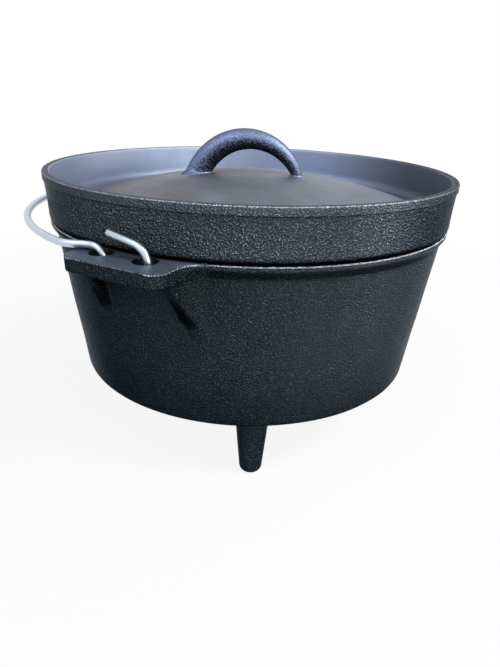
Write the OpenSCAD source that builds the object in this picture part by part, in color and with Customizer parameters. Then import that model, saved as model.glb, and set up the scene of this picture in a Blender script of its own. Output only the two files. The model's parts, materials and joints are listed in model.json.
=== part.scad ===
// Camp dutch oven: a cast-iron pot on three legs, a deep-flanged lid that
// carries coals, and a wire bail hooked through two holes in each ear.
// Millimetres. Z is up along the pot's axis, the ears lie along X, and the
// feet stand on z = 0. The bail is drawn lying down on the +Y side.

/* [Pot] */
// Outer radius of the pot's rim
pot_rim_r = 162.5; // [145:0.5:180]
// Height of the pot, from the underside of its base to its rim
pot_h = 125.5; // [100:0.5:150]
// Slope of the side wall, in degrees from upright
wall_slope = 6.6; // [3:0.2:8]
// Thickness of the side wall
wall_t = 4.5; // [4:0.5:6]
// Thickness of the base
base_t = 5; // [4.5:0.5:8]
// Outside corner radius of the base
base_out_r = 4; // [2:0.5:7]
// Inside corner radius of the base
base_in_r = 14; // [8:1:20]
// How far the rim stands out from the side wall
rim_out = 2.7; // [2:0.1:3.5]
// Thickness of the rim at its edge
rim_edge = 3; // [2:0.5:4]
// Height over which the rim's underside runs back into the wall
rim_run = 9; // [7:0.5:12]

/* [Legs] */
// Height of the base above the ground
leg_h = 54; // [45:1:70]
// Distance from the edge of the base to the axis of a leg
leg_inset = 22; // [18:0.5:30]
// Diameter of a leg where it meets the base
leg_top_d = 26.5; // [20:0.5:28]
// Diameter of a leg at its rounded tip
leg_tip_d = 17; // [13:0.5:19]
// Radius of the rounded edge of that tip
tip_edge_r = 5; // [3:0.5:6]

/* [Ears] */
// How far an ear stands out past the rim
ear_out = 23; // [21:0.5:27]
// Width of an ear along the rim
ear_w = 74.5; // [70:0.5:90]
// Offset of an ear's middle from the middle of its holes, away from the lying bail
ear_shift = 2; // [0:0.5:4]
// Thickness of an ear
ear_t = 10.5; // [7:0.5:11]
// Radius of an ear's outer corners
ear_corner_r = 9; // [5:0.5:12]
// Radius of the hollow that blends an ear into the rim
ear_blend_r = 12; // [8:0.5:16]
// Diameter of the two holes in an ear
hole_d = 15.7; // [14.5:0.1:16.5]
// Distance between the two holes, centre to centre
hole_pitch = 33.5; // [32:0.5:36]
// Distance from the pot's wall to a hole, which cuts into the rim
hole_gap = 0.2; // [0.2:0.1:2]
// Thickness of the gusset ribs under an ear
rib_t = 8.5; // [5:0.5:9.5]
// Depth of the gusset ribs below an ear
rib_drop = 35.5; // [28:0.5:40]
// Distance from an ear's end to the middle of a rib
rib_inset = 5; // [5:0.5:10]
// Distance from an ear's outer edge in to the top of a rib
rib_back = 8; // [5:0.5:12]
// How far the toe of a rib stands out from the wall
rib_toe = 8; // [5:0.5:10]

/* [Lid] */
// How far the lid's rim stands out past the pot's rim
lid_out = 2.5; // [1.5:0.1:3]
// Height of the lid's flange above the pot's rim
lid_h = 35.5; // [30:0.5:40]
// Thickness of the lid's plate
lid_t = 4; // [3.5:0.5:6]
// How far the flange draws in from its rim to its foot
lid_draw = 2; // [0:0.1:2.5]
// Width of the flange's flat top
lid_rim_w = 5.5; // [4:0.5:7]
// Height of the band round the top of the flange
band_h = 6; // [3:0.5:7]
// Depth of the step below that band
band_step = 0.5; // [0.2:0.1:1]
// Radius of the flange's lower outside edge
lid_edge_r = 4; // [2:0.5:5]
// How far the dome's top lies below the flange's rim
dome_below = 4.5; // [2:0.5:9]
// Radius of the hollow between the dome and the flange
dish_r = 8; // [5:0.5:10]
// Depth of the locating ring under the lid
ring_depth = 6; // [4:0.5:9]
// Thickness of the locating ring
ring_t = 4; // [3:0.5:6]
// Side play between the locating ring and the pot's mouth
lid_play = 2; // [0.5:0.1:3]

/* [Lid handle] */
// Radius of the handle's arch along its middle line
arch_r = 44.7; // [38:0.1:52]
// Depth of the arch's centre below the dome's top
arch_drop = 18.7; // [14:0.1:22]
// Offset of the arch's centre towards its thick foot
arch_shift = 2.7; // [0:0.1:5]
// Diameter of the bar at its thick foot
bar_thick_d = 18.5; // [15:0.5:20]
// Diameter of the bar at the crown
bar_crown_d = 16; // [14:0.5:18]
// Diameter of the bar at its thin foot
bar_thin_d = 5.5; // [5:0.5:12]
// Direction from the thick foot to the thin one, in degrees from X
handle_turn = -68; // [-180:1:180]

/* [Bail] */
// Diameter of the bail's wire
wire_d = 5; // [4:0.1:5.5]
// Gap between the bail's bow and the lid's rim
bow_gap = 11; // [9:0.5:16]
// Gap between the lying wire and the ear under it
rest_gap = 0.6; // [0.2:0.1:0.8]
// Bend radius where the wire steps out from the hole
step_r = 18; // [15:0.5:20]
// Bend radius where the step runs into the bow
join_r = 22; // [20:0.5:26]
// Gap between the bottom of the hook and the ear over it
hook_gap = 2.9; // [2.5:0.1:4]
// Distance from the middle of the holes to the hook's leg on the side of the bow
lead_y = 15; // [14.5:0.5:17]
// Distance from the middle of the holes to the hook's leg on the side of the tail
tail_y = 18.5; // [17:0.5:19]
// Bend radius at the top of the hook
bend_r = 12; // [8:0.5:13]
// Height of that bend's centre above the middle of the ear
bend_up = 2.5; // [1:0.5:6]
// Length of the straight tail at the end of the hook
tail_l = 20; // [12:0.5:22]
// Rise of the tail, in degrees from level
tail_rise = 12; // [0:1:18]

/* [Hidden] */
$fn = 96;
iron = "#2d3034";
satin_iron = "#4a4f56";
zinc = "#d3d6d8";

// Heights of the pot's base, floor and rim
base_z = leg_h;
floor_z = base_z + base_t;
rim_z = base_z + pot_h;

// The side wall: its outer radius at the rim and at the base, and its level width
wall_top_r = pot_rim_r - rim_out;
base_r = wall_top_r - pot_h * tan(wall_slope);
wall_w = wall_t / cos(wall_slope);
mouth_r = wall_top_r - wall_w;
function wall_r(z) = wall_top_r - (rim_z - z) * tan(wall_slope);

// Legs stand on one circle, two in front and one behind
leg_r = base_r - leg_inset;
leg_angles = [-150, -30, 90];

// Ears: their outer edge, holes, middle height and the height of a rib's foot
ear_x = pot_rim_r + ear_out;
hole_y = hole_pitch / 2;
hole_x = sqrt(pow(wall_top_r + hole_gap + hole_d / 2, 2) - hole_y * hole_y);
ear_z = rim_z - ear_t / 2;
rib_y = ear_w / 2 - rib_inset;
rib_z = rim_z - ear_t - rib_drop;

// Lid: radii of its rim, foot, dish and locating ring
lid_r = pot_rim_r + lid_out;
lid_foot_r = lid_r - lid_draw;
dish_wall_r = lid_r - lid_rim_w;
ring_r = mouth_r - lid_play;
lid_top_z = rim_z + lid_h;

// Dome: a cap of one sphere, from its foot just over the rim to its top, whose skin
// ends where the locating ring begins
dome_z = lid_top_z - dome_below;
dome_foot_z = rim_z + lid_t + 1;
dome_rise = dome_z - dome_foot_z;
dome_r = ring_r - ring_t;
dome_ball_r = (dome_r * dome_r + dome_rise * dome_rise) / (2 * dome_rise);
dome_ball_z = dome_z - dome_ball_r;

// Bail: depth of the hook and height of the lying wire from the ear's middle, and radius of the
// bow. The turn out of the hole has the same radius as that height, so it bends round the edge.
wire_r = wire_d / 2;
hook_drop = ear_t / 2 + hook_gap + wire_r;
lie_h = ear_t / 2 + rest_gap + wire_r;
turn_r = lie_h;
bow_r = lid_r + bow_gap + wire_r;
wire_sides = 12;

// The step from the hole out to the bow is two arcs that touch each other,
// and the second touches the bow. join_a is where on the bow it does so.
step_y = lead_y + turn_r;
step_c = [hole_x + step_r, step_y];
join_k = bow_r - join_r;
join_cos = (step_c * step_c + join_k * join_k - pow(step_r + join_r, 2)) / (2 * join_k * norm(step_c));
join_a = atan2(step_c.y, step_c.x) + acos(join_cos);
join_c = join_k * [cos(join_a), sin(join_a)];
step_a = atan2(join_c.y - step_c.y, step_c.x - join_c.x);

// Points on an arc in the plane
function arc(c, r, a0, a1, n = 8) = [
    for (i = [0:n]) c + r * [cos(a0 + (a1 - a0) * i / n), sin(a0 + (a1 - a0) * i / n)]
];

// Rounded corner between a flat floor at z and a wall of radius r(z) that leans outward
function corner_c(z, r, wall) = [wall - r / cos(wall_slope), z + r];

// Half section of the pot's outside, from its axis to its rim
function pot_outside() = concat(
    [[0, base_z]],
    arc(corner_c(base_z, base_out_r, wall_r(base_z + base_out_r)), base_out_r, -90, -wall_slope),
    [
        [wall_r(rim_z - rim_run), rim_z - rim_run],
        [pot_rim_r, rim_z - rim_edge],
        [pot_rim_r, rim_z]
    ]
);

// Half section of the pot's inside, from its mouth down to its axis
function pot_inside() = concat(
    [[mouth_r, rim_z]],
    arc(corner_c(floor_z, base_in_r, wall_r(floor_z + base_in_r) - wall_w), base_in_r, -wall_slope, -90),
    [[0, floor_z]]
);

// The holes in both ears
module ear_holes() {
    for (end = [-1, 1], side = [-1, 1])
        translate([end * hole_x, side * hole_y, rim_z - 2 * ear_t])
            cylinder(d = hole_d, h = 3 * ear_t);
}

// The open pot with its rim, into which the holes of the ears just cut
module pot_shell() {
    color(iron)
        difference() {
            rotate_extrude()
                polygon(concat(pot_outside(), pot_inside()));
            ear_holes();
        }
}

// Everything inside the pot's outer surface, which an ear is cut to fit
module pot_form() {
    rotate_extrude()
        polygon(concat(pot_outside(), [[0, rim_z]]));
}

// A tapered leg with a rounded tip and a small flat on which it stands
module leg(angle) {
    flat_r = leg_tip_d / 2 - tip_edge_r;
    color(iron)
        rotate([0, 0, angle])
            translate([leg_r, 0, 0])
                rotate_extrude()
                    polygon(concat(
                        [[0, 0]],
                        arc([flat_r, tip_edge_r], tip_edge_r, -90, 0),
                        [[leg_top_d / 2, base_z], [0, base_z]]
                    ));
}

// Outline of an ear seen from above, with round corners and a hollow blend into the rim
module ear_outline() {
    low_y = -ear_w / 2 - ear_shift;
    root_x = sqrt(pow(pot_rim_r, 2) - pow(low_y - ear_blend_r, 2)) - 8;
    translate([root_x, low_y])
        square([ear_x - ear_corner_r - root_x, ear_w]);
    translate([root_x, low_y + ear_corner_r])
        square([ear_x - root_x, ear_w - 2 * ear_corner_r]);
    for (side = [-1, 1]) {
        end_y = side * ear_w / 2 - ear_shift;
        blend_y = end_y + side * ear_blend_r;
        blend_x = sqrt(pow(pot_rim_r + ear_blend_r, 2) - blend_y * blend_y);
        touch = pot_rim_r / (pot_rim_r + ear_blend_r) * [blend_x, blend_y];
        translate([ear_x - ear_corner_r, end_y - side * ear_corner_r])
            circle(r = ear_corner_r);
        difference() {
            polygon([
                [root_x, end_y - side],
                [blend_x, end_y - side],
                [blend_x, end_y],
                touch,
                [root_x, touch.y]
            ]);
            translate([blend_x, blend_y])
                circle(r = ear_blend_r);
        }
    }
}

// A gusset rib from near the outer edge of an ear down to the pot's wall, with a rounded toe
module ear_rib() {
    under_z = rim_z - ear_t;
    foot_x = sqrt(pow(wall_r(rib_z), 2) - pow(rib_y + ear_shift, 2));
    top = [ear_x - rib_back, under_z];
    toe = [foot_x + rib_toe, rib_z + rib_toe / 3];
    foot = [foot_x, rib_z];
    rotate([90, 0, 0])
        linear_extrude(rib_t, center = true)
            polygon(concat(
                [[foot_x - 8, rib_z], [foot_x - 8, under_z + 1], [top.x, under_z + 1]],
                [for (t = [0:0.125:1]) (1 - t) * (1 - t) * top + 2 * t * (1 - t) * toe + t * t * foot]
            ));
}

// An ear: a flat plate level with the rim, two holes for the bail, two ribs under it
module ear() {
    color(iron)
        difference() {
            union() {
                translate([0, 0, rim_z - ear_t])
                    linear_extrude(ear_t)
                        ear_outline();
                for (side = [-1, 1])
                    translate([0, side * rib_y - ear_shift, 0])
                        ear_rib();
            }
            pot_form();
            ear_holes();
        }
}

// Half section of the lid's flange, foot and locating ring, out from the dome's edge
function flange_section() =
    let (
        band_z = lid_top_z - band_h,
        wall_h = band_z - rim_z - lid_edge_r,
        dish_z = dome_foot_z + dish_r,
        steps = 5
    ) concat(
        [
            [dome_r - 1, rim_z],
            [dome_r, rim_z - ring_depth],
            [ring_r - 1, rim_z - ring_depth],
            [ring_r, rim_z - ring_depth + 1],
            [ring_r, rim_z]
        ],
        arc([lid_foot_r - lid_edge_r, rim_z + lid_edge_r], lid_edge_r, -90, 0, 6),
        [
            for (i = [1:steps])
                let (t = (lid_edge_r + wall_h * i / steps) / lid_h)
                    [lid_foot_r + (lid_draw - band_step) * pow(t, 2.5), rim_z + t * lid_h]
        ],
        [
            [lid_r - band_step / 2, band_z + band_step],
            [lid_r, band_z + band_h / 2],
            [lid_r - 1, lid_top_z],
            [dish_wall_r, lid_top_z]
        ],
        arc([dish_wall_r - 2 - dish_r, dish_z], dish_r, 0, -90, 6),
        [[dome_r - 1, dome_foot_z]]
    );

// The lid: a domed plate inside an upright flange, with a ring that drops into the mouth
module lid_shell() {
    color(satin_iron)
        rotate_extrude()
            union() {
                polygon(flange_section());
                difference() {
                    intersection() {
                        translate([0, dome_ball_z])
                            circle(r = dome_ball_r);
                        translate([0, rim_z])
                            square([dome_r, lid_h]);
                    }
                    translate([0, dome_ball_z])
                        circle(r = dome_ball_r - lid_t);
                }
            }
}

// Diameter of the handle's bar at angle a of its arch, thin foot at 0 and thick foot at 180:
// a parabola through the thin, crown and thick diameters
function bar_d(a) =
    let (t = a / 90 - 1)
        bar_crown_d + t * (bar_thick_d - bar_thin_d) / 2
        + t * t * ((bar_thick_d + bar_thin_d) / 2 - bar_crown_d);

// Skin over rings of points, each ring with the same number of points, closed at both ends
module ring_skin(rings) {
    n = len(rings[0]);
    last = len(rings) - 1;
    polyhedron(
        points = [for (ring = rings) each ring],
        faces = concat(
            [[for (j = [0:n - 1]) j]],
            [
                for (i = [0:last - 1], j = [0:n - 1])
                    let (k = (j + 1) % n)
                        [i * n + j, (i + 1) * n + j, (i + 1) * n + k, i * n + k]
            ],
            [[for (j = [n - 1:-1:0]) last * n + j]]
        )
    );
}

// The lid's handle: a tapered round bar bent into an arch, with its feet cut to the dome
module lid_handle() {
    sides = 20;
    rings = 30;
    foot_a = asin((arch_drop - bar_thick_d / 2 - dome_rise / 4) / arch_r);
    color(satin_iron)
        difference() {
            rotate([0, 0, handle_turn])
                translate([-arch_shift, 0, dome_z - arch_drop])
                    ring_skin([
                        for (i = [0:rings])
                            let (a = foot_a + (180 - 2 * foot_a) * i / rings)
                                [
                                    for (j = [0:sides - 1])
                                        let (
                                            b = 360 * j / sides,
                                            r = arch_r + bar_d(a) / 2 * cos(b)
                                        )
                                            [r * cos(a), bar_d(a) / 2 * sin(b), r * sin(a)]
                                ]
                    ]);
            translate([0, 0, dome_ball_z])
                sphere(r = dome_ball_r);
        }
}

// Outline of the bail's wire round point p, square to its course t, counted from direction u
function wire_ring(p, t, u) =
    let (v = cross(t, u), turn = 360 / wire_sides)
        [for (j = [0:wire_sides - 1]) p + wire_r * (cos(j * turn) * u + sin(j * turn) * v)];

// Wire outlines on an upright arc at the +X ear, with its centre c given as [y, z]
function upright_rings(c, r, a0, a1, n) = [
    for (i = [0:n])
        let (a = a0 + (a1 - a0) * i / n)
            wire_ring(
                [hole_x, c.x + r * cos(a), c.y + r * sin(a)],
                sign(a1 - a0) * [0, -sin(a), cos(a)],
                [1, 0, 0]
            )
];

// Wire outlines on a level arc at the height where the bail lies
function level_rings(c, r, a0, a1, n) = [
    for (i = [1:n])
        let (
            a = a0 + (a1 - a0) * i / n,
            t = sign(a1 - a0) * [-sin(a), cos(a), 0]
        )
            wire_ring([c.x + r * cos(a), c.y + r * sin(a), ear_z + lie_h], t, cross(t, [0, 0, 1]))
];

// The hooked end of the bail at the +X ear: a straight tail, a bend down into the first
// hole, a shallow hook under the iron between the holes, a turn out of the second hole,
// and a step out to the bow
function bail_end() =
    let (
        course = [0, cos(tail_rise), sin(tail_rise)],
        bend_c = [bend_r - tail_y, ear_z + bend_up],
        bend_top = bend_c + bend_r * [-sin(tail_rise), cos(tail_rise)]
    ) concat(
        [wire_ring([hole_x, bend_top.x, bend_top.y] + tail_l * course, -course, [1, 0, 0])],
        upright_rings(bend_c, bend_r, 90 + tail_rise, 180, 6),
        upright_rings([hook_drop - tail_y, ear_z], hook_drop, 180, 270, 8),
        upright_rings([lead_y - hook_drop, ear_z], hook_drop, 270, 360, 8),
        [for (i = [1:6]) upright_rings([step_y, ear_z], turn_r, 180, 90, 6)[i]],
        level_rings(step_c, step_r, 180, 180 - step_a, 3),
        level_rings(join_c, join_r, -step_a, join_a, 4)
    );

// The wire bail: a half-round bow with a hook at each end
module bail() {
    end = bail_end();
    last = len(end) - 1;
    color(zinc)
        ring_skin(concat(
            end,
            level_rings([0, 0], bow_r, join_a, 180 - join_a, 36),
            [for (i = [last - 1:-1:0]) [for (p = end[i]) [-p.x, p.y, p.z]]]
        ));
}

pot_shell();
leg(leg_angles[0]);  // leg_left
leg(leg_angles[1]);  // leg_right
leg(leg_angles[2]);  // leg_back
mirror([1, 0, 0]) ear();  // ear_left
ear();  // ear_right
lid_shell();
lid_handle();
bail();
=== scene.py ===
import json
import math

import bpy
import numpy as np
from mathutils import Matrix, Vector, noise


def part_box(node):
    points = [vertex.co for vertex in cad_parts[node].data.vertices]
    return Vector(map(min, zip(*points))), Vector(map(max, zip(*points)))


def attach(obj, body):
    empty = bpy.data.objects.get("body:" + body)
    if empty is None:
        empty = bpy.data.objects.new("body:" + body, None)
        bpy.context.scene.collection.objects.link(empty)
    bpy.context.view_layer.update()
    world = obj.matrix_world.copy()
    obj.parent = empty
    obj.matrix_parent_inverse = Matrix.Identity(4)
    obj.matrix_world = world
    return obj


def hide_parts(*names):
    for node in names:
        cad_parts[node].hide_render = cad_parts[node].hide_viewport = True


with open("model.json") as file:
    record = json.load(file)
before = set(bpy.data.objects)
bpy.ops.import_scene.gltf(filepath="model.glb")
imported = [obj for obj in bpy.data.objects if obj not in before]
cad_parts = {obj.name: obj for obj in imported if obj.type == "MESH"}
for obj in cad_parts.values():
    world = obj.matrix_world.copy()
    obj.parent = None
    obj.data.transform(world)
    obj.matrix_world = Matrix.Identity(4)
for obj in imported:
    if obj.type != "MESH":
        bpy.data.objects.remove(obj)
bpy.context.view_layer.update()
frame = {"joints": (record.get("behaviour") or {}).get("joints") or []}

# The pot. One casting of grey iron, poured in a green-sand mould: a tapering wall, a flat base
# and a rim turned out to seat the lid. Its ears and legs are cast with it.
# Sizes of pieces are written in millimetres. Meshes, the studio and the camera are in metres.
MM = 0.001
pot_low, pot_high = (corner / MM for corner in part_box("pot_shell"))
base_z, rim_z, rim_r = pot_low.z, pot_high.z, pot_high.x
wall_slope = math.radians(6.6)
wall_t = 4.5
base_t = 5.0
inside_z = base_z + base_t
# The rim leaves the wall rim_run below its top, stands out by rim_out and has an edge rim_edge high.
rim_out = 2.7
rim_edge = 3.0
rim_run = 9.0
rim_foot_z = rim_z - rim_run
wall_top_r = rim_r - rim_out
wall_across = wall_t / math.cos(wall_slope)
mouth_r = wall_top_r - wall_across
# Half an ear's width, and how far its middle is off the middle of its holes.
ear_half = 37.25
ear_shift = 2.0


def wall_r(z):
    """Radius of the pot's outer wall at height z."""
    return wall_top_r - (rim_z - z) * math.tan(wall_slope)


def rounded(corners, steps=6):
    """Outline through corners (r, z, radius), each turned by an arc of its radius."""
    points = []
    for i, (r, z, radius) in enumerate(corners):
        here = Vector((r, z))
        if not radius:
            points.append(here)
            continue
        back = (Vector(corners[i - 1][:2]) - here).normalized()
        ahead = (Vector(corners[i + 1][:2]) - here).normalized()
        half = back.angle(ahead) / 2
        centre = here + (back + ahead).normalized() * radius / math.sin(half)
        start = here + back * radius / math.tan(half) - centre
        sweep = start.angle_signed(here + ahead * radius / math.tan(half) - centre)
        for k in range(steps + 1):
            points.append(centre + Matrix.Rotation(-sweep * k / steps, 2) @ start)
    return points


def spaced(points, gap):
    """The same outline, with no step longer than gap."""
    out = [points[0]]
    for p, q in zip(points, points[1:]):
        count = max(1, math.ceil((q - p).length / gap))
        out += [p.lerp(q, k / count) for k in range(1, count + 1)]
    return out


def turned(outline, turns=360):
    """Points and faces of an outline that starts and ends on the axis, swept round it."""
    angle = np.arange(turns) * 2 * math.pi / turns
    rings = np.array([[p.x, p.y] for p in outline[1:-1]])
    verts = np.empty((len(rings), turns, 3))
    verts[..., 0] = rings[:, :1] * np.cos(angle)
    verts[..., 1] = rings[:, :1] * np.sin(angle)
    verts[..., 2] = rings[:, 1:]
    ends = [[0, 0, outline[0].y], [0, 0, outline[-1].y]]
    first, last = len(rings) * turns, len(rings) * turns + 1
    faces = []
    for j in range(turns):
        k = (j + 1) % turns
        faces.append((first, k, j))
        faces += [
            (i + j, i + k, i + turns + k, i + turns + j)
            for i in range(0, (len(rings) - 1) * turns, turns)
        ]
        faces.append((last, first - turns + j, first - turns + k))
    return np.vstack([verts.reshape(-1, 3), ends]), faces


def ramp(value, start, end):
    """0 up to start, 1 from end on, and straight between."""
    return np.clip((value - start) / (end - start), 0, 1)


def solid(name, verts, faces, **marks):
    """A smooth-shaded object from points in millimetres. A mark is a number per point for the material."""
    mesh = bpy.data.meshes.new(name)
    mesh.from_pydata((np.asarray(verts) * MM).tolist(), [], faces)
    mesh.polygons.foreach_set("use_smooth", [True] * len(mesh.polygons))
    for mark, values in marks.items():
        mesh.attributes.new(mark, "FLOAT", "POINT").data.foreach_set("value", np.asarray(values, np.float32))
    made = bpy.data.objects.new(name, mesh)
    bpy.context.scene.collection.objects.link(made)
    return made


pot_outline = spaced(
    rounded([
        (0, base_z, 0),
        (wall_r(base_z), base_z, 4.0),
        (wall_r(rim_foot_z), rim_foot_z, 3.0),
        (rim_r, rim_z - rim_edge, 0.8),
        (rim_r, rim_z, 0.9),
        (mouth_r, rim_z, 1.2),
        (wall_r(inside_z) - wall_across, inside_z, 14.0),
        (0, inside_z, 0),
    ]),
    gap=3.0,
)
pot_verts, pot_faces = turned(pot_outline)
pot_x, pot_y, pot_z = pot_verts.T
pot_reach = np.hypot(pot_x, pot_y)
# The wall has the slow waviness of a sand mould, away from the ears and from the rim's seat.
wave_h = 0.35
wave_l = 32.0
by_ear = ramp(np.abs(pot_x) / np.maximum(pot_reach, 1), 0.8, 0.9)
calm = np.maximum(by_ear, ramp(pot_z, rim_z - 25, rim_z - 10))
wave = [wave_h * noise.noise(Vector(p) / wave_l) for p in pot_verts]
pot_verts[:, :2] *= (1 + wave * (1 - calm) / np.maximum(pot_reach, wave_l))[:, None]
# Behind an ear the rim is part of the ear, whose holes cut into it, so here it is drawn back to the
# wall. It comes out again past the ear's fillet.
kept_flare = 0.1
ear_side_x = 100
flare = np.maximum(pot_reach - wall_top_r + 0.8, 0) * (pot_z > rim_foot_z - 1)
in_ear = 1 - ramp(np.abs(pot_y + ear_shift), ear_half + 8, ear_half + 13)
in_ear *= np.abs(pot_x) > ear_side_x
pot_verts[:, :2] *= (1 - (1 - kept_flare) * flare * in_ear / np.maximum(pot_reach, 1))[:, None]
# The rim's outer edge is rubbed bare, just inside the corner that its rounding takes off.
edge_in = 0.3
rim_edge_gap = np.hypot(pot_reach - rim_r + edge_in, pot_z - rim_z + edge_in)
# Painted shade darkens the lid's seat and the hollow under the rim; the wall is also darker towards its base.
base_dark_h = 45
hollow_shade, base_dark = 0.6, 0.4
in_seat = (pot_z > rim_z - 0.3) & (pot_reach < rim_r - 1.2)
under_rim = ramp(np.abs(pot_z - rim_z + rim_run * 0.75), 4.0, 1.5) * (pot_reach > mouth_r + 2)
toward_base = ramp(pot_z, base_z + base_dark_h, base_z) * (pot_reach > wall_r(pot_z) - 3)
pot_sooted = np.maximum(np.maximum(in_seat, hollow_shade * under_rim), base_dark * toward_base)
# Painted light: the wall is greyer towards the side that the lamps light most.
lit_side = np.array([0.45, -0.89, 0])
pot_light = 0.55
pot_faded = pot_light * ramp(pot_verts @ lit_side, 0, 120)
pot = solid(
    "pot_casting", pot_verts, pot_faces,
    rubbed=ramp(rim_edge_gap, 0.9, 0.2), sooted=pot_sooted, faded=pot_faded,
)


def colour(code):
    """Linear colour of an sRGB hex value."""
    parts = [int(code[i:i + 2], 16) / 255 for i in (1, 3, 5)]
    return [c / 12.92 if c <= 0.04045 else ((c + 0.055) / 1.055) ** 2.4 for c in parts] + [1]


def add(tree, kind, inputs=None, **settings):
    """A shader node with its settings. Each input is a value or another node's output. A socket has a
    number where names repeat: a colour Mix blends input 6 into 7 by input 0, and gives output 2."""
    made = tree.nodes.new("ShaderNode" + kind)
    for name, value in settings.items():
        setattr(made, name, value)
    for name, value in (inputs or {}).items():
        if isinstance(value, bpy.types.NodeSocket):
            tree.links.new(value, made.inputs[name])
        else:
            made.inputs[name].default_value = value
    return made


def blank(name):
    """An empty material, its node tree and its object coordinates."""
    made = bpy.data.materials.new(name)
    made.use_nodes = True
    made.node_tree.nodes.clear()
    return made, made.node_tree, add(made.node_tree, "TexCoord").outputs["Object"]


def sand_skin(tree, place, grain, rough):
    """What the mould's sand leaves in iron, from a grain in metres: its grit, and the height of the skin,
    which is that grit on round pebbles."""
    pebbles = add(tree, "TexVoronoi", {"Vector": place, "Scale": 1 / grain, "Smoothness": 0.4},
                  feature="SMOOTH_F1")
    grit = add(tree, "TexNoise", {"Vector": place, "Scale": 1 / grain, "Detail": 4.0, "Roughness": rough})
    skin = add(tree, "Math", {0: grit.outputs["Fac"], 1: pebbles.outputs["Distance"]}, operation="SUBTRACT")
    return grit, skin


def sand_cast_iron(name, dark, light, grain, speck):
    """Seasoned iron as it leaves the sand: blue-black and pebbled, with pebble tips lightened to fine grey
    specks, partly rubbed metal and partly painted glints. The grain, in metres, is drawn coarser than real
    sand, which is too fine to see. Faces ground level are greyer and sharp edges are rubbed to bare metal. A
    mark of painted light greys one side, and a mark of painted shade darkens joints, hollows and undersides."""
    material, tree, place = blank(name)
    grit, skin = sand_skin(tree, place, grain, 0.6)
    ground = add(tree, "Attribute", attribute_name="ground")
    relief = add(tree, "MapRange", {"Value": ground.outputs["Fac"], "To Min": 1.0, "To Max": 0.15})
    bump = add(tree, "Bump", {
        "Height": skin.outputs[0], "Distance": 0.95 * grain, "Strength": relief.outputs["Result"],
    })
    patches = add(tree, "TexNoise", {"Vector": place, "Scale": 1 / (25 * MM), "Detail": 3.0})
    shade = add(tree, "Mix", {
        0: patches.outputs["Fac"], 6: colour(dark), 7: colour(light),
    }, data_type="RGBA")
    # Painted light: a mark greys the iron on the side where more light falls.
    light_mark = add(tree, "Attribute", attribute_name="faded")
    faded = add(tree, "Mix", {
        0: light_mark.outputs["Fac"], 6: shade.outputs[2], 7: colour("#4a4f51"),
    }, data_type="RGBA")
    # Pebble tips are lightened towards bare metal: partly rubbed metal, partly painted glints of light on the
    # pebbles.
    tips_and_glints = add(tree, "MapRange", {
        "Value": skin.outputs[0], "From Min": 0.15, "From Max": 0.5, "To Max": speck,
    })
    tips_and_glints = add(tree, "Math", {0: tips_and_glints.outputs["Result"], 1: relief.outputs["Result"]}, operation="MULTIPLY")
    worn = add(tree, "Attribute", attribute_name="rubbed")
    bare = add(tree, "Math", {0: worn.outputs["Fac"], 1: grit.outputs["Fac"]}, operation="MULTIPLY")
    bared = add(tree, "MapRange", {"Value": bare.outputs[0], "From Min": 0.2, "From Max": 0.45})
    metal = add(tree, "Math", {0: bared.outputs["Result"], 1: tips_and_glints.outputs[0]}, operation="MAXIMUM")
    level = add(tree, "Mix", {
        0: ground.outputs["Fac"], 6: faded.outputs[2], 7: colour("#616c79"),
    }, data_type="RGBA")
    mirror = add(tree, "MapRange", {"Value": ground.outputs["Fac"], "To Min": 1.0, "To Max": 0.3})
    tint = add(tree, "Mix", {
        0: metal.outputs[0], 6: level.outputs[2], 7: colour("#b4bac2"),
    }, data_type="RGBA")
    # Painted shade: a mark darkens the iron to near black in joints, hollows and under the ears.
    soot = add(tree, "Attribute", attribute_name="sooted")
    sooted = add(tree, "Mix", {
        0: soot.outputs["Fac"], 6: tint.outputs[2], 7: colour("#050607"),
    }, data_type="RGBA")
    iron = add(tree, "BsdfPrincipled", {
        "Base Color": sooted.outputs[2], "Metallic": mirror.outputs["Result"], "Roughness": 0.28,
        "Specular Tint": colour("#9aa0a8"), "Normal": bump.outputs["Normal"],
    })
    add(tree, "OutputMaterial", {"Surface": iron.outputs[0]})
    return material


pot_iron = sand_cast_iron("sand_cast_iron", "#1e2528", "#293134", 1.1 * MM, 0.18)
pot.data.materials.append(pot_iron)
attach(pot, "pot")
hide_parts("pot_shell")

# The ears. Flat lugs cast in one with the rim, each with two round holes for the bail's hook and
# two gusset ribs below, all run into the wall with the soft fillets that sand needs.
ear_low, ear_high = (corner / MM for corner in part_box("ear_right"))
ear_x = ear_high.x
bail_hinge = next(joint for joint in frame["joints"] if joint["name"] == "bail_swing")
ear_z = bail_hinge["pos_m"][2] / MM
ear_t = 2 * (rim_z - ear_z)
ear_corner_r = 9.0
hole_r = 7.85
hole_y = 16.75
hole_off_wall = 0.2
hole_x = math.sqrt((wall_top_r + hole_off_wall + hole_r) ** 2 - hole_y ** 2)
rib_inset = 5.0
rib_y = ear_half - rib_inset
rib_t = 8.5
rib_z = ear_low.z


def join(a, b, radius):
    """Two forms, each a distance that is minus inside, cast together with a fillet of that radius."""
    gap = np.hypot(np.maximum(radius - a, 0), np.maximum(radius - b, 0))
    return np.maximum(radius, np.minimum(a, b)) - gap


def within(a, b, radius):
    """What two forms share, with its edge rounded to that radius."""
    gap = np.hypot(np.maximum(radius + a, 0), np.maximum(radius + b, 0))
    return np.minimum(-radius, np.maximum(a, b)) + gap


def slope(form, points):
    """The direction and rate in which a form's distance grows at each point."""
    reach = 0.05
    rates = np.empty_like(points)
    for axis in range(3):
        shift = np.zeros(3)
        shift[axis] = reach
        rates[:, axis] = (form(*(points + shift).T) - form(*(points - shift).T)) / (2 * reach)
    return rates


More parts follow.
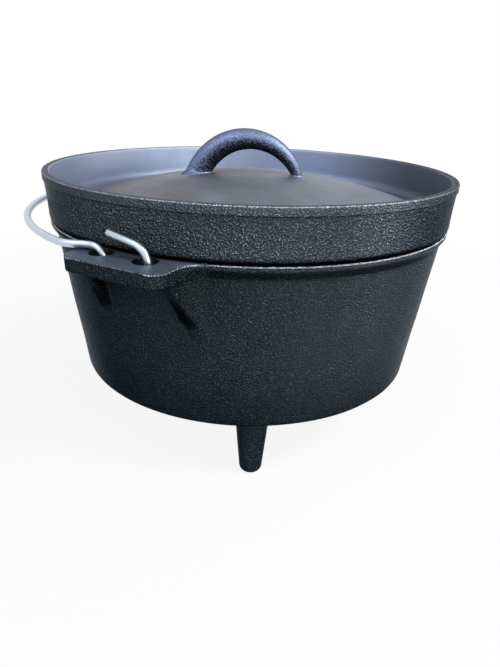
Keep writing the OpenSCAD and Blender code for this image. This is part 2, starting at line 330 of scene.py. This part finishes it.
def moulded(form, low, high, step):
    """Points and faces of the skin of a form, found on a grid of cells a step wide."""
    axes = [np.arange(a, b + step, step) for a, b in zip(low, high)]
    sides = form(*np.meshgrid(*axes, indexing="ij")) < 0
    cells = tuple(n - 1 for n in sides.shape)
    filled = sum(
        sides[i:i + cells[0], j:j + cells[1], k:k + cells[2]].astype(int)
        for i in (0, 1) for j in (0, 1) for k in (0, 1)
    )
    # Each cell that the skin crosses holds one point.
    crossed = np.argwhere((filled > 0) & (filled < 8))
    number = np.full(cells, -1)
    number[tuple(crossed.T)] = np.arange(len(crossed))
    # Each grid line that goes through the skin is ringed by four such cells, which make a face.
    faces = []
    for axis in range(3):
        one, two = (axis + 1) % 3, (axis + 2) % 3
        flips = np.argwhere(np.diff(sides.astype(np.int8), axis=axis) != 0)
        flips = flips[(flips[:, one] > 0) & (flips[:, two] > 0)]
        corners = []
        for back_one, back_two in ((1, 1), (0, 1), (0, 0), (1, 0)):
            cell = flips.copy()
            cell[:, one] -= back_one
            cell[:, two] -= back_two
            corners.append(number[tuple(cell.T)])
        quads = np.stack(corners, 1)
        entering = ~sides[tuple(flips.T)]
        quads[entering] = quads[entering][:, ::-1]
        faces.append(quads)
    faces = np.vstack(faces)
    # The points start in the middle of their cells, are pulled onto the skin and evened out in turns.
    verts = np.array(low) + (crossed + 0.5) * step
    pairs = np.vstack([faces[:, [k, (k + 1) % 4]] for k in range(4)])
    rounds, pulls, least_rate = 4, 3, 0.05
    for turn in range(rounds):
        for pull in range(pulls):
            rates = slope(form, verts)
            verts = verts - rates * (form(*verts.T) / np.maximum((rates ** 2).sum(1), least_rate))[:, None]
        if turn < rounds - 1:
            middle = np.zeros_like(verts)
            np.add.at(middle, pairs[:, 0], verts[pairs[:, 1]])
            verts = middle / np.bincount(pairs[:, 0], minlength=len(verts))[:, None]
    return verts, faces.tolist()


def pot_skin(x, y, z):
    """Distance from the pot's outer wall and rim, with the ear's root just under its surface."""
    sunk = 0.06
    r = np.hypot(x, y)
    wall = (r - wall_top_r + (rim_z - z) * math.tan(wall_slope)) * math.cos(wall_slope)
    lean = math.atan2(rim_r - wall_r(rim_foot_z), rim_run - rim_edge)
    under = (r - rim_r) * math.cos(lean) - (z - rim_z + rim_edge) * math.sin(lean)
    rim = np.maximum(np.maximum(under, r - rim_r), z - rim_z)
    return np.minimum(wall, rim) + sunk


def below(x, z, start, end):
    """Distance below the straight line from start to end, both (x, z)."""
    run = (Vector(end) - Vector(start)).normalized()
    return (x - start[0]) * run.y - (z - start[1]) * run.x


def ear_form(x, y, z):
    """The ear at +X: a plate, two ribs and two holes, filleted into the pot's wall."""
    inner_x = 130.0
    mid_x, half_x = (ear_x + inner_x) / 2, (ear_x - inner_x) / 2
    across = np.abs(y + ear_shift)
    dx = np.abs(x - mid_x) - half_x + ear_corner_r
    dy = across - ear_half + ear_corner_r
    plan = np.hypot(np.maximum(dx, 0), np.maximum(dy, 0)) + np.minimum(np.maximum(dx, dy), 0) - ear_corner_r
    plate_edge_r = 1.3
    plate = within(plan, np.abs(z - ear_z) - ear_t / 2, plate_edge_r)
    # A rib's lower edge leaves the wall at its foot, turns in a wide curve at its toe and runs up
    # to the plate.
    toe_r = 16.0
    rib_edge_r = 1.8
    foot = (math.sqrt(wall_r(rib_z) ** 2 - (rib_y + ear_shift) ** 2), rib_z)
    toe = (foot[0] + 10.0, rib_z + 8.0)
    top = (ear_x - 12.0, rim_z - ear_t)
    edge = within(below(x, z, toe, top), below(x, z, foot, toe), toe_r)
    rib = within(np.abs(across - rib_y) - rib_t / 2, np.maximum(edge, z - ear_z), rib_edge_r)
    rib_fillet = 2.5
    lug = join(plate, rib, rib_fillet)
    # The fillet on the wall is small on the inner side of a rib and large beyond the ear's ends.
    inner_fillet, end_fillet = 3.0, 12.0
    fillet = inner_fillet + (end_fillet - inner_fillet) * ramp(across, rib_y - 2.0, rib_y + 4.0)
    body = join(lug, pot_skin(x, y, z), fillet)
    # The top is a hair lower than the rim's, and its edges and those of the holes are rounded.
    top_drop, top_edge_r, hole_edge_r = 0.04, 0.9, 0.8
    body = within(body, z - rim_z + top_drop, top_edge_r)
    hole = hole_r - np.hypot(x - hole_x, np.abs(y) - hole_y)
    body = within(body, hole, hole_edge_r)
    # Inside the wall the ear ends in a thin root, which is never seen and keeps the mesh closed.
    root_t, root_spread, root_drop = 3.4, 14.0, 13.0
    root_edge_r, cut_edge_r = 1.0, 0.8
    skirt = np.maximum(lug - root_spread, rib_z - root_drop - z)
    root = within(-root_t - pot_skin(x, y, z), skirt, root_edge_r)
    return within(body, root, cut_edge_r)


ear_cell = 0.9
ear_space_low = (136, -64, rib_z - 16)
ear_space_high = (ear_x + 3, 60, rim_z + 3)
ear_verts, ear_faces = moulded(ear_form, ear_space_low, ear_space_high, ear_cell)
lug_x, lug_y, lug_z = ear_verts.T
# Edges are rubbed bare: there a step straight up leads half as far out of the iron as on a flat top.
step_up = 0.8
edge_gap = np.abs(ear_form(lug_x, lug_y, lug_z + step_up) - step_up / 2)
on_rim = (lug_z > rim_z - 2.0) & (np.hypot(lug_x, lug_y) > rim_r - 1)
in_hole = np.hypot(lug_x - hole_x, np.abs(lug_y) - hole_y) < hole_r + 1.2
ear_rubbed = ramp(edge_gap, 0.4, 0.1) * on_rim * np.where(in_hole, 0.3, 1.0)
ear_ground = ramp(lug_z, rim_z - 0.9, rim_z - 0.2)
# Painted shade: the ribs' sloping edges, which face down, are darkened, above all low down, and so are their
# inner faces under the plate.
rib_shade, least_shade = 0.75, 0.3
ear_lean = slope(ear_form, ear_verts)
plate_gap = rim_z - ear_t - lug_z
looks_down = ramp(ear_lean[:, 2], -0.2, -0.45) * ramp(lug_z, rib_z - 1, rib_z + 4)
looks_in = ramp(-ear_lean[:, 1] * np.sign(lug_y + ear_shift), 0.4, 0.8) * (plate_gap > 0)
low_down = least_shade + (1 - least_shade) * ramp(plate_gap, 8, 20)
ear_sooted = rib_shade * np.maximum(looks_down * low_down, looks_in)
for name, side in (("ear_right", 1), ("ear_left", -1)):
    faces = ear_faces if side > 0 else [face[::-1] for face in ear_faces]
    ear = solid(
        name + "_casting", ear_verts * [side, 1, 1], faces,
        rubbed=ear_rubbed, ground=ear_ground, sooted=ear_sooted,
    )
    ear.data.materials.append(pot_iron)
    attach(ear, "pot")
    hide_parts(name)

# The legs. Three tapered stubs cast on the base, filleted at the root, rounded at the tip and
# standing on a small flat that wear keeps bright.
leg_tip_r = 8.5
leg_top_r = 13.25
leg_top_z = base_z + 0.05
# A thin disc at the root lies hidden in the base.
leg_root_r = leg_top_r + 6.0
leg_root_z = base_z + 1.0
leg_outline = spaced(
    rounded([
        (0, 0.0, 0),
        (leg_tip_r, 0.0, 5.0),
        (leg_top_r, leg_top_z, 5.5),
        (leg_root_r, leg_top_z, 0),
        (leg_root_r, leg_root_z, 0),
        (0, leg_root_z, 0),
    ], steps=8),
    gap=2.0,
)
leg_verts, leg_faces = turned(leg_outline, turns=72)
for name in ("leg_left", "leg_right", "leg_back"):
    leg_low, leg_high = (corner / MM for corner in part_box(name))
    axis = (leg_low + leg_high) / 2
    leg = solid(
        name + "_casting", leg_verts + [axis.x, axis.y, 0], leg_faces, rubbed=ramp(leg_verts[:, 2], 0.6, 0.0),
    )
    leg.data.materials.append(pot_iron)
    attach(leg, "pot")
    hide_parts(name)

# The lid. A casting too: a shallow dome inside an upright flange that keeps coals on top, and a
# ring underneath that drops into the pot's mouth. It lies loose on the rim.
lid_low, lid_high = (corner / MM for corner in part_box("lid_shell"))
lid_r, lid_top_z = lid_high.x, lid_high.z
lid_foot_r = lid_r - 2.0
lid_t = 4.0
band_z = lid_top_z - 6.0
band_r = lid_r - 0.2
lip_w = 5.5
groove_r = lid_r - 7.5
ring_r = mouth_r - 2.0
ring_t = 4.0
dome_z = lid_top_z - 4.5
dome_foot_z = rim_z + lid_t + 1.0
dome_r = ring_r - ring_t
dome_ball_r = (dome_r ** 2 + (dome_z - dome_foot_z) ** 2) / (2 * (dome_z - dome_foot_z))


def dome_skin(r, drop=0.0):
    """Height of the dome at radius r, or of the skin that far below it."""
    return math.sqrt((dome_ball_r - drop) ** 2 - r ** 2) + dome_z - dome_ball_r


lid_inside = [(r, dome_skin(r), 0) for r in np.linspace(0, dome_r - 3, 40)]
lid_inside += [(groove_r, dome_skin(groove_r), 8.0), (lid_r - lip_w, lid_top_z, 1.3)]
# Outside, the flange is slightly hollow, with a narrow band under its lip.
flare_out, flare_bend = 1.5, 2.5
flange = [
    (lid_foot_r + flare_out * t ** flare_bend, rim_z + t * (lid_top_z - rim_z), 0)
    for t in np.linspace(0.8, 0.15, 14)
]
lid_outside = [
    (band_r, lid_top_z, 1.2),
    (band_r, band_z + 0.6, 0.4),
    (lid_r - 1.2, band_z - 0.2, 0.6),
] + flange + [
    (lid_foot_r, rim_z, 4.0),
    (ring_r, rim_z, 0.8),
    (ring_r, lid_low.z, 1.0),
    (dome_r, lid_low.z, 1.0),
]
lid_under = [(r, dome_skin(r, lid_t), 0) for r in np.linspace(dome_r - 4, 0, 30)]
lid_outline = spaced(rounded(lid_inside + lid_outside + lid_under)[::-1], gap=2.5)
lid_verts, lid_faces = turned(lid_outline)
lid_x, lid_y, lid_z = lid_verts.T
lid_reach = np.hypot(lid_x, lid_y)
# The lip's outer edge is rubbed, and the band below it is a little smoother than the rest, most on top.
lip_rub = 0.7
lip_gap = np.hypot(lid_reach - lid_r + 0.5, lid_z - lid_top_z + 0.2)
lid_rubbed = lip_rub * ramp(lip_gap, 1.2, 0.3)
top_ground, band_ground = 0.3, 0.15
lid_ground = np.where(lid_z > lid_top_z - 0.5, top_ground, band_ground) * (lid_z > band_z)
# Painted reflection of a blue sky: the flange is blue, and the dome goes from grey on one side to blue-grey
# on the other.
dome_sky_blue = 0.4
blue_from_r, blue_full_r = 144, 152
aside = lid_verts @ lit_side
on_flange = ramp(lid_reach, blue_from_r, blue_full_r)
lid_blued = np.maximum(dome_sky_blue * ramp(aside, -110, 130), on_flange)
# Painted shade darkens the joint with the pot, both ends of the flange and one end of the groove.
far_shade, near_shade, groove_dark = 0.75, 0.2, 0.6
groove_dark_in = 11
in_joint = (lid_reach > ring_r) * ramp(lid_z, rim_z + 5, rim_z + 2.5)
end_shade = on_flange * (far_shade * ramp(aside, 85, 150) + near_shade * ramp(-aside, 100, 150))
groove_shade = groove_dark * ramp(np.abs(lid_reach - lid_r + groove_dark_in), 5, 3) * ramp(-aside, 40, 110)
lid_sooted = np.maximum(in_joint, np.maximum(end_shade, groove_shade))
# Painted light: outside, the wall is greyer at both ends, most on the lit side.
far_light, near_light = 0.5, 0.3
lid_faded = far_light * ramp(aside, 10, 120) + near_light * ramp(-aside, 10, 120)
lid = solid(
    "lid_casting", lid_verts, lid_faces,
    rubbed=lid_rubbed, ground=lid_ground, blued=lid_blued, sooted=lid_sooted, faded=lid_faded,
)


def smooth_cast_iron():
    """Seasoned iron from a finely faced mould, as on the inside of the lid: a satin metal that mirrors
    the light softly, grey with a painted reflection of a blue sky on the flange and one side of the dome,
    and darkened by painted shade in the joint, the groove and the flange's ends. Its grit is drawn coarser
    than the facing sand, which is too fine to see."""
    material, tree, place = blank("smooth_cast_iron")
    grit = add(tree, "TexNoise", {"Vector": place, "Scale": 1 / (1.2 * MM), "Detail": 3.0})
    bump = add(tree, "Bump", {"Height": grit.outputs["Fac"], "Distance": 0.2 * MM, "Strength": 0.6})
    patches = add(tree, "TexNoise", {"Vector": place, "Scale": 1 / (40 * MM), "Detail": 6.0})
    # Painted reflection: the blue stands in for a blue sky mirrored in the satin iron.
    sky_mark = add(tree, "Attribute", attribute_name="blued")
    cloud = add(tree, "MapRange", {
        "Value": patches.outputs["Fac"], "From Min": 0.3, "From Max": 0.7, "To Min": -0.12, "To Max": 0.12,
    })
    blue = add(tree, "Math", {0: sky_mark.outputs["Fac"], 1: cloud.outputs["Result"]}, use_clamp=True)
    shade = add(tree, "Mix", {
        0: blue.outputs[0], 6: colour("#5a5c5f"), 7: colour("#97a4bd"),
    }, data_type="RGBA")
    # Painted shade: a mark darkens the joint, the groove and the flange's ends.
    soot = add(tree, "Attribute", attribute_name="sooted")
    sooted = add(tree, "Mix", {
        0: soot.outputs["Fac"], 6: shade.outputs[2], 7: colour("#2b2a29"),
    }, data_type="RGBA")
    gloss = add(tree, "MapRange", {
        "Value": patches.outputs["Fac"], "From Min": 0.3, "From Max": 0.7, "To Min": 0.55, "To Max": 0.46,
    })
    iron = add(tree, "BsdfPrincipled", {
        "Base Color": sooted.outputs[2], "Metallic": 0.75, "Roughness": gloss.outputs["Result"],
        "Normal": bump.outputs["Normal"],
    })
    add(tree, "OutputMaterial", {"Surface": iron.outputs[0]})
    return material


lid.data.materials.append(sand_cast_iron("oiled_sand_cast_iron", "#2e353a", "#3b4349", 1.4 * MM, 0.4))
lid.data.materials.append(smooth_cast_iron())
# The smooth iron is all that lies above the middle of the dome's thickness, up to the lip.
smooth_r = lid_r - 4.8
for face in lid.data.polygons:
    r, z = math.hypot(*face.center[:2]) / MM, face.center[2] / MM
    on_top = z > dome_skin(min(r, dome_r), lid_t / 2)
    face.material_index = int(on_top and r < smooth_r)
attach(lid, "lid")
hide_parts("lid_shell")

# The lid's handle. A loop of round bar cast with its feet in the dome, thick at one foot and thin
# at the other, worn smooth on top and still sandy underneath.
# Its middle line is an arc of arch_r about a point arch_drop under the dome's top, off by arch_shift.
arch_r = 44.7
arch_drop = 18.7
arch_shift = 2.7
bar_thick, bar_crown, bar_thin = 20.5, 16.0, 5.5
foot_splay = 2.5
handle_turn = math.radians(-68)


def dome_form(x, y, z):
    """Distance from the dome, with the handle's root just under its surface."""
    sunk = 0.06
    return np.sqrt(x ** 2 + y ** 2 + (z - dome_z + dome_ball_r) ** 2) - dome_ball_r + sunk


def handle_form(x, y, z):
    """The handle, filleted onto the dome, with a spread toe outside its thick foot."""
    along = x * math.cos(handle_turn) + y * math.sin(handle_turn) + arch_shift
    across = y * math.cos(handle_turn) - x * math.sin(handle_turn)
    up = z - dome_z + arch_drop
    # t is -1 at the thin foot, 0 at the crown and 1 at the thick foot.
    t = np.clip(np.arctan2(up, along) / (math.pi / 2) - 1, -1.2, 1.2)
    bar = bar_crown + t * (bar_thick - bar_thin) / 2 + t * t * ((bar_thick + bar_thin) / 2 - bar_crown)
    splay = foot_splay * ramp(t, 0.4, 1.1) ** 2
    loop = np.hypot(np.hypot(along, up) - arch_r - splay, across) - bar / 2
    foot_fillet, toe_spread = 1.2, 4.5
    fillet = foot_fillet + toe_spread * ramp(-along, 38.0, 48.0)
    body = join(loop, dome_form(x, y, z), fillet)
    # Like an ear's, its root is a thin hidden layer that keeps the mesh closed.
    root_t, root_spread = 3.2, 9.0
    root_edge_r, cut_edge_r = 1.0, 0.8
    root = within(-root_t - dome_form(x, y, z), loop - root_spread, root_edge_r)
    return within(body, root, cut_edge_r)


handle_low, handle_high = (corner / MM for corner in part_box("lid_handle"))
handle_cell = 0.8
margin = Vector((20.0, 20.0, 9.0))
handle_verts, handle_faces = moulded(handle_form, handle_low - margin, handle_high + margin, handle_cell)
# Hands reach its top and, less, the ends of its feet. The top, found by which way the surface faces, also
# takes a painted sky sheen. A line of bare metal runs round each foot.
foot_wear, seam_rub = 0.45, 0.7
upward = slope(handle_form, handle_verts)[:, 2]
above_dome = dome_form(*handle_verts.T)
handle = solid(
    "lid_handle_casting", handle_verts, handle_faces,
    worn=np.maximum(ramp(upward, -0.5, 0.4), foot_wear * ramp(above_dome, 9, 2)),
    rubbed=seam_rub * ramp(above_dome, 0.6, 0.1),
)


def worn_iron_with_painted_sheen():
    """Cast iron that hooks and hands have polished where they reach: satin on top, its blue there a painted
    sky sheen, pebbled black below, and a bright line where the foot meets the dome."""
    material, tree, place = blank("hand_worn_cast_iron_painted_sheen")
    skin = sand_skin(tree, place, 1.4 * MM, 0.5)[1]
    wear_and_sheen = add(tree, "Attribute", attribute_name="worn")
    speck = add(tree, "MapRange", {
        "Value": skin.outputs[0], "From Min": -0.1, "From Max": 0.5, "To Min": -0.35, "To Max": 0.35,
    })
    polish_and_sheen = add(tree, "Math", {0: wear_and_sheen.outputs["Fac"], 1: speck.outputs["Result"]}, use_clamp=True)
    relief = add(tree, "MapRange", {"Value": wear_and_sheen.outputs["Fac"], "To Min": 1.0, "To Max": 0.12})
    bump = add(tree, "Bump", {
        "Height": skin.outputs[0], "Distance": 0.8 * MM, "Strength": relief.outputs["Result"],
    })
    # Painted sheen: the upward faces take a blue-grey that stands in for sky light on the polished top.
    shade = add(tree, "Mix", {
        0: polish_and_sheen.outputs[0], 6: colour("#272d32"), 7: colour("#7f8bab"),
    }, data_type="RGBA")
    seam = add(tree, "Attribute", attribute_name="rubbed")
    tint = add(tree, "Mix", {
        0: seam.outputs["Fac"], 6: shade.outputs[2], 7: colour("#b4bac2"),
    }, data_type="RGBA")
    iron = add(tree, "BsdfPrincipled", {
        "Base Color": tint.outputs[2], "Metallic": 1.0, "Roughness": 0.52,
        "Specular Tint": colour("#6c7078"), "Normal": bump.outputs["Normal"],
    })
    add(tree, "OutputMaterial", {"Surface": iron.outputs[0]})
    return material


handle.data.materials.append(worn_iron_with_painted_sheen())
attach(handle, "lid")
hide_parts("lid_handle")

# The bail. One length of drawn steel wire, zinc-plated, bent to a half-round bow with a hook at
# each end that goes down one hole of an ear, under the iron between them and up the other.
wire_r = 2.5
under_ear, over_ear = 2.9, 0.6
hook_drop = ear_t / 2 + under_ear + wire_r
lie_h = ear_t / 2 + over_ear + wire_r
bow_r = (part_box("bail")[1] / MM).y - wire_r
# From the bow, arcs of join_r and step_r bring the wire over the ear, and it goes down at lead_y. It
# comes up at tail_y on the other side of the middle, where its tail bends back over the ear.
step_r, join_r = 18.0, 22.0
lead_y, tail_y = 15.0, 18.5
bend_r, bend_up = 12.0, 2.5
tail_l, tail_rise = 20.0, math.radians(12)


def arc(centre, radius, start, end, steps):
    """Points on an arc in a plane, angles in radians."""
    return [
        (centre[0] + radius * math.cos(a), centre[1] + radius * math.sin(a))
        for a in np.linspace(start, end, steps)
    ]


step_c = Vector((hole_x + step_r, lead_y + lie_h))
join_reach = bow_r - join_r
join_cos = (
    (step_c.length_squared + join_reach ** 2 - (step_r + join_r) ** 2) / (2 * join_reach * step_c.length)
)
join_a = math.atan2(step_c.y, step_c.x) + math.acos(join_cos)
join_c = join_reach * Vector((math.cos(join_a), math.sin(join_a)))
step_a = math.atan2(join_c.y - step_c.y, step_c.x - join_c.x)
bend = arc((bend_r - tail_y, ear_z + bend_up), bend_r, math.pi / 2 + tail_rise, math.pi, 16)
tail_end = (bend[0][0] + tail_l * math.cos(tail_rise), bend[0][1] + tail_l * math.sin(tail_rise))
upright = [tail_end] + bend
upright += arc((hook_drop - tail_y, ear_z), hook_drop, math.pi, 1.5 * math.pi, 20)
upright += arc((lead_y - hook_drop, ear_z), hook_drop, 1.5 * math.pi, 2 * math.pi, 20)
upright += arc((step_c.y, ear_z), lie_h, math.pi, math.pi / 2, 16)[1:]
level = arc(step_c, step_r, math.pi, math.pi - step_a, 12)[1:]
level += arc(join_c, join_r, -step_a, join_a, 20)[1:]
half_bail = [Vector((hole_x, y, z)) for y, z in upright] + [Vector((x, y, ear_z + lie_h)) for x, y in level]
bow = [Vector((x, y, ear_z + lie_h)) for x, y in arc((0, 0), bow_r, join_a, math.pi - join_a, 120)[1:-1]]
route = half_bail + bow + [Vector((-p.x, p.y, p.z)) for p in reversed(half_bail)]


def wire(route, radius, sides=28):
    """Points and faces of a round wire along a route, its cut ends a little chamfered."""
    chamfer = 0.5
    courses = [(b - a).normalized() for a, b in zip(route, route[1:])]
    stops = [(route[0], courses[0], radius - chamfer), (route[0] + courses[0] * chamfer, courses[0], radius)]
    stops += [(p, (a + b).normalized(), radius) for p, a, b in zip(route[1:-1], courses, courses[1:])]
    stops.append((route[-1] - courses[-1] * chamfer, courses[-1], radius))
    stops.append((route[-1], courses[-1], radius - chamfer))
    verts = []
    aside = Vector((1, 0, 0))
    for centre, course, r in stops:
        aside = (aside - course * aside.dot(course)).normalized()
        over = course.cross(aside)
        for k in range(sides):
            turn = 2 * math.pi * k / sides
            verts.append(centre + r * (math.cos(turn) * aside + math.sin(turn) * over))
    faces = [tuple(range(sides))[::-1]]
    for i in range(len(stops) - 1):
        for j in range(sides):
            k = (j + 1) % sides
            faces.append((i * sides + j, i * sides + k, (i + 1) * sides + k, (i + 1) * sides + j))
    faces.append(tuple(range((len(stops) - 1) * sides, len(stops) * sides)))
    return verts, faces


def zinc_plated_steel():
    """Drawn steel wire with a bright zinc plate: a soft white shine, faintly clouded by the bath."""
    material, tree, place = blank("zinc_plated_steel")
    cloud = add(tree, "TexNoise", {"Vector": place, "Scale": 1 / (8 * MM), "Detail": 3.0})
    shade = add(tree, "Mix", {
        0: cloud.outputs["Fac"], 6: colour("#b6c3d0"), 7: colour("#ccd7e2"),
    }, data_type="RGBA")
    gloss = add(tree, "MapRange", {"Value": cloud.outputs["Fac"], "To Min": 0.3, "To Max": 0.38})
    zinc = add(tree, "BsdfPrincipled", {
        "Base Color": shade.outputs[2], "Metallic": 1.0, "Roughness": gloss.outputs["Result"],
    })
    add(tree, "OutputMaterial", {"Surface": zinc.outputs[0]})
    return material


bail = solid("bail_wire", *wire(route, wire_r))
bail.data.materials.append(zinc_plated_steel())
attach(bail, "bail")
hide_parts("bail")

# The floor and the light. A white studio sweep: white to the eye and to reflections, still taking a
# soft shadow, with a lamp high on the right, two low ones beside it and a large weak one on the left.
floor_half = 10.0
floor = bpy.data.objects.new("floor", bpy.data.meshes.new("floor"))
floor_corners = [(-floor_half, -floor_half, 0), (floor_half, -floor_half, 0)]
floor_corners += [(floor_half, floor_half, 0), (-floor_half, floor_half, 0)]
floor.data.from_pydata(floor_corners, [], [(0, 1, 2, 3)])
bpy.context.scene.collection.objects.link(floor)


def seen_white(tree):
    """1 for rays that show the background: straight to the camera, by reflection or through glass."""
    path = add(tree, "LightPath")
    mirror = add(tree, "Math", {0: path.outputs["Is Camera Ray"], 1: path.outputs["Is Glossy Ray"]},
                 operation="MAXIMUM")
    return add(tree, "Math", {0: mirror.outputs[0], 1: path.outputs["Is Transmission Ray"]},
               operation="MAXIMUM").outputs[0]


# The paper glows a little less near the pot, to keep its shadow, and wholly further off, so no
# horizon shows.
sweep, tree, place = blank("white_paper_sweep")
paper = add(tree, "BsdfDiffuse", {"Color": colour("#e9e9e9")})
glow = add(tree, "Emission", {"Color": colour("#ffffff"), "Strength": 1.0})
away = add(tree, "VectorMath", {0: place}, operation="LENGTH")
part = add(tree, "MapRange", {
    "Value": away.outputs["Value"], "From Min": 0.25, "From Max": 0.8, "To Min": 0.88,
})
share = add(tree, "Math", {0: seen_white(tree), 1: part.outputs["Result"]}, operation="MULTIPLY")
mixed = add(tree, "MixShader", {0: share.outputs[0], 1: paper.outputs[0], 2: glow.outputs[0]})
add(tree, "OutputMaterial", {"Surface": mixed.outputs[0]})
floor.data.materials.append(sweep)

world = bpy.data.worlds.new("studio")
world.use_nodes = True
tree = world.node_tree
tree.nodes.clear()
ambient = add(tree, "Background", {"Color": colour("#dfe6f2"), "Strength": 0.4})
white = add(tree, "Background", {"Color": colour("#ffffff"), "Strength": 1.0})
mixed = add(tree, "MixShader", {0: seen_white(tree), 1: ambient.outputs[0], 2: white.outputs[0]})
add(tree, "OutputWorld", {"Surface": mixed.outputs[0]})
bpy.context.scene.world = world


def lamp(name, place, size, power, tint):
    """A square soft box at a place in metres, of a size in metres and a power in watts, facing the pot."""
    pot_middle = Vector((0, 0, 0.15))
    data = bpy.data.lights.new(name, "AREA")
    data.size, data.energy, data.color = size, power, colour(tint)[:3]
    made = bpy.data.objects.new(name, data)
    made.location = place
    made.rotation_euler = (pot_middle - Vector(place)).to_track_quat("-Z", "Y").to_euler()
    bpy.context.scene.collection.objects.link(made)


lamp("key", (0.1, -1.3, 1.45), 0.5, 24, "#f7f9ff")
lamp("side", (1.2, -1.1, 0.18), 0.36, 11, "#fff6ea")
lamp("low", (-0.45, -1.65, 0.6), 0.9, 12, "#fbf8ec")
lamp("fill", (-1.2, 0.3, 1.5), 1.2, 11, "#d8e2ff")

# The camera. It stands where the photograph was taken, close and a little above the lid, with a
# wide lens, so that the pot's near side looks large.
camera_data = bpy.data.cameras.new("camera")
camera_data.sensor_width = 36.0
camera_data.lens = 27.73
camera_data.clip_start = 0.01
camera = bpy.data.objects.new("camera", camera_data)
heading, pitch, roll = (math.radians(a) for a in (-63.48, 64.77, 2.01))
camera_place = (-0.39983, -0.20362, 0.2718)
camera.matrix_world = (
    Matrix.Translation(camera_place)
    @ Matrix.Rotation(heading, 4, "Z") @ Matrix.Rotation(pitch, 4, "X") @ Matrix.Rotation(roll, 4, "Z")
)
bpy.context.scene.collection.objects.link(camera)
bpy.context.scene.camera = camera
bpy.context.scene.view_settings.view_transform = "Standard"
